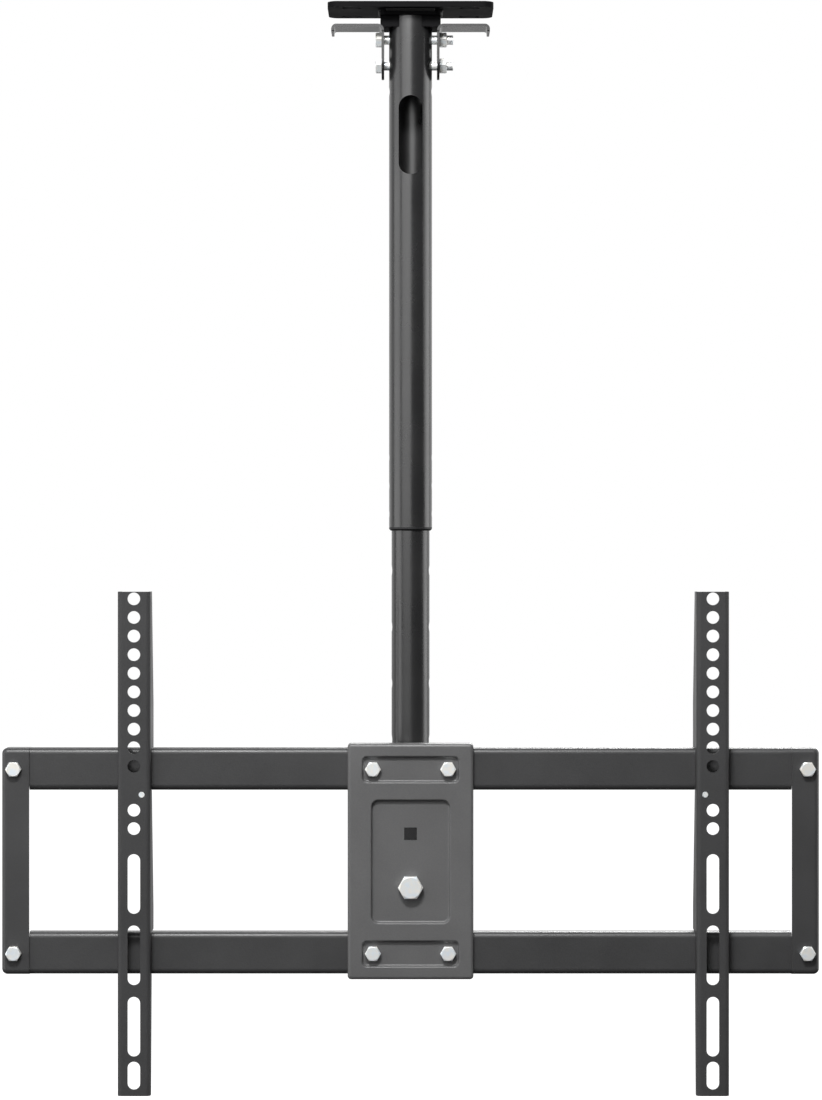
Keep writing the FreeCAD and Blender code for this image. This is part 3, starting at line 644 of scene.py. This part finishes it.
class MOUNT_OT_welds(bpy.types.Operator):
    """Weld beads on the neck block and on the lock bosses"""

    bl_idname = "mount.welds"
    bl_label = "Welds"

    def execute(self, context):
        weld = context.scene.mount_weld
        black = bpy.data.materials.get("black_coat")
        tube = bpy.data.materials.get("tube_coat")
        if black is None or tube is None:
            raise RuntimeError("the powder coats come before the welds")
        bm = bmesh.new()
        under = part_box("ceiling_plate")[0].z
        low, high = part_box("neck_block")
        front, back = low.y + weld.inset, high.y - weld.inset
        left, right = low.x + weld.inset, high.x - weld.inset
        for x in (low.x, high.x):
            add_weld(bm, Vector((x, front, under)), Vector((x, back, under)), weld)
        for y in (low.y, high.y):
            add_weld(bm, Vector((left, y, under)), Vector((right, y, under)), weld)
        new_piece("neck_welds", bm, black, "hanger")
        bm = bmesh.new()
        for low, high in [corners(points) for points in solids("lock_bosses")]:
            middle = (low.z + high.z) / 2
            reach = (high.z - low.z) * BOSS_WELD_REACH
            y = low.y + BOSS_WELD_LIFT
            for x in (low.x, high.x):
                add_weld(bm, Vector((x, y, middle - reach)), Vector((x, y, middle + reach)), weld)
        new_piece("boss_welds", bm, tube, "hanger")
        return {"FINISHED"}


class MOUNT_OT_stage(bpy.types.Operator):
    """Camera, pale floor and soft studio light"""

    bl_idname = "mount.stage"
    bl_label = "Studio Stage"

    def execute(self, context):
        stage = context.scene.mount_stage
        scene = context.scene
        scene.view_settings.view_transform = "Standard"
        made = [self.camera(scene, stage), self.floor(stage)]
        middle = Vector((0.0, 0.0, (CAD_BOX[0].z + CAD_BOX[1].z) / 2))
        for name, place, width, height, power in SOFTBOXES:
            made.append(self.softbox(name, place, middle, width, height, getattr(stage, power)))
        self.room(scene, stage)
        return {"FINISHED"}

    def camera(self, scene, stage):
        """A level camera in front of the mount."""
        data = bpy.data.cameras.new("camera")
        data.lens = stage.lens
        data.sensor_fit = "VERTICAL"
        data.sensor_height = SENSOR_HEIGHT
        data.clip_end = SIGHT
        camera = bpy.data.objects.new("camera", data)
        camera.location = (stage.camera_x, -stage.distance, stage.camera_z)
        camera.rotation_euler = (math.pi / 2, 0.0, 0.0)
        scene.collection.objects.link(camera)
        scene.camera = camera
        return camera

    def floor(self, stage):
        """A wide floor under the mount."""
        bm = bmesh.new()
        bmesh.ops.create_grid(
            bm, x_segments=1, y_segments=1, size=stage.floor_size / 2,
            matrix=Matrix.Translation((0.0, 0.0, CAD_BOX[0].z - stage.floor_drop)))
        mesh = bpy.data.meshes.new("floor")
        bm.to_mesh(mesh)
        bm.free()
        mesh.materials.append(self.floor_paint(stage))
        floor = bpy.data.objects.new("floor", mesh)
        bpy.context.scene.collection.objects.link(floor)
        return floor

    def floor_paint(self, stage):
        """Pale with the mount's shadow to the eye, white far out; as a light dark, bright far behind."""
        material = bpy.data.materials.new("floor")
        material.use_nodes = True
        tree = material.node_tree
        link = tree.links.new
        place = tree.nodes.new("ShaderNodeTexCoord").outputs["Object"]
        flat = tree.nodes.new("ShaderNodeVectorMath")
        flat.operation = "MULTIPLY"
        flat.inputs[1].default_value = (1.0, 1.0, 0.0)
        link(place, flat.inputs[0])
        away = tree.nodes.new("ShaderNodeVectorMath")
        away.operation = "LENGTH"
        link(flat.outputs[0], away.inputs[0])
        glow = tree.nodes.new("ShaderNodeEmission")
        link(ramp(tree, away.outputs["Value"], SHADOW_SPAN, SHADOW_WHITE, 1.0), glow.inputs["Strength"])
        pale = add_node(tree, "ShaderNodeBsdfDiffuse", Color=FLOOR_PALE)
        seen = tree.nodes.new("ShaderNodeAddShader")
        link(pale.outputs[0], seen.inputs[0])
        link(glow.outputs[0], seen.inputs[1])
        dark = tree.nodes["Principled BSDF"]
        dark.inputs["Base Color"].default_value = FLOOR_DARK
        dark.inputs["Roughness"].default_value = FLOOR_ROUGHNESS
        dark.inputs["Emission Color"].default_value = WHITE
        behind = ramp(tree, axes(tree, place)["Y"], BEHIND_SPAN, 0.0, stage.backdrop)
        link(behind, dark.inputs["Emission Strength"])
        path = tree.nodes.new("ShaderNodeLightPath")
        mix = tree.nodes.new("ShaderNodeMixShader")
        link(path.outputs["Is Camera Ray"], mix.inputs["Fac"])
        link(dark.outputs[0], mix.inputs[1])
        link(seen.outputs[0], mix.inputs[2])
        link(mix.outputs[0], tree.nodes["Material Output"].inputs["Surface"])
        return material

    def softbox(self, name, place, aim, width, height, power):
        """One flat lamp, turned to face a point."""
        data = bpy.data.lights.new(name, "AREA")
        data.shape = "RECTANGLE"
        data.size = width
        data.size_y = height
        data.energy = power
        lamp = bpy.data.objects.new(name, data)
        lamp.location = place
        lamp.rotation_euler = (aim - Vector(place)).to_track_quat("-Z", "Y").to_euler()
        bpy.context.scene.collection.objects.link(lamp)
        return lamp

    def room(self, scene, stage):
        """White to the eye and behind the mount; as a light bright above, dark below and dim in front."""
        world = bpy.data.worlds.new("room")
        world.use_nodes = True
        scene.world = world
        tree = world.node_tree
        link = tree.links.new
        place = tree.nodes.new("ShaderNodeTexCoord").outputs["Generated"]
        sides = axes(tree, place)
        above = ramp(tree, sides["Z"], CEILING_SPAN, ROOM_LOW, stage.fill)
        wall = ramp(tree, sides["Y"], WALL_SPAN, 0.0, WALL_LIGHT)
        light = tree.nodes["Background"]
        link(maths(tree, "MAXIMUM", above, wall), light.inputs["Color"])
        plain = add_node(tree, "ShaderNodeBackground", Color=WHITE)
        path = tree.nodes.new("ShaderNodeLightPath").outputs
        eye = maths(tree, "MAXIMUM", path["Is Camera Ray"], path["Is Transmission Ray"])
        shine = maths(tree, "MULTIPLY", path["Is Glossy Ray"], wall)
        mix = tree.nodes.new("ShaderNodeMixShader")
        link(maths(tree, "MAXIMUM", eye, shine), mix.inputs["Fac"])
        link(light.outputs[0], mix.inputs[1])
        link(plain.outputs[0], mix.inputs[2])
        link(mix.outputs[0], tree.nodes["World Output"].inputs["Surface"])


class MOUNT_PT_look(bpy.types.Panel):
    """Buttons for the mount's look"""

    bl_idname = "MOUNT_PT_look"
    bl_label = "Mount Look"
    bl_space_type = "VIEW_3D"
    bl_region_type = "UI"
    bl_category = "Mount"

    def draw(self, context):
        for operator in OPERATORS:
            self.layout.operator(operator.bl_idname)


SETTINGS = (
    ("mount_coat", CoatSettings),
    ("mount_plating", PlatingSettings),
    ("mount_weld", WeldSettings),
    ("mount_nylon", NylonSettings),
    ("mount_stage", StageSettings),
)
OPERATORS = (
    MOUNT_OT_coats,
    MOUNT_OT_plating,
    MOUNT_OT_bushes,
    MOUNT_OT_threads,
    MOUNT_OT_welds,
    MOUNT_OT_stage,
)


def register():
    """Makes the settings, operators and panel known to Blender."""
    for name, group in SETTINGS:
        bpy.utils.register_class(group)
        setattr(bpy.types.Scene, name, bpy.props.PointerProperty(type=group))
    for operator in OPERATORS:
        bpy.utils.register_class(operator)
    bpy.utils.register_class(MOUNT_PT_look)


def unregister():
    """Takes them away again."""
    bpy.utils.unregister_class(MOUNT_PT_look)
    for operator in reversed(OPERATORS):
        bpy.utils.unregister_class(operator)
    for name, group in reversed(SETTINGS):
        delattr(bpy.types.Scene, name)
        bpy.utils.unregister_class(group)


def main():
    """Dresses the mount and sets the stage."""
    register()
    bpy.ops.mount.coats()
    bpy.ops.mount.plating()
    bpy.ops.mount.bushes()
    bpy.ops.mount.threads()
    bpy.ops.mount.welds()
    bpy.ops.mount.stage()


if __name__ == "__main__":
    main()
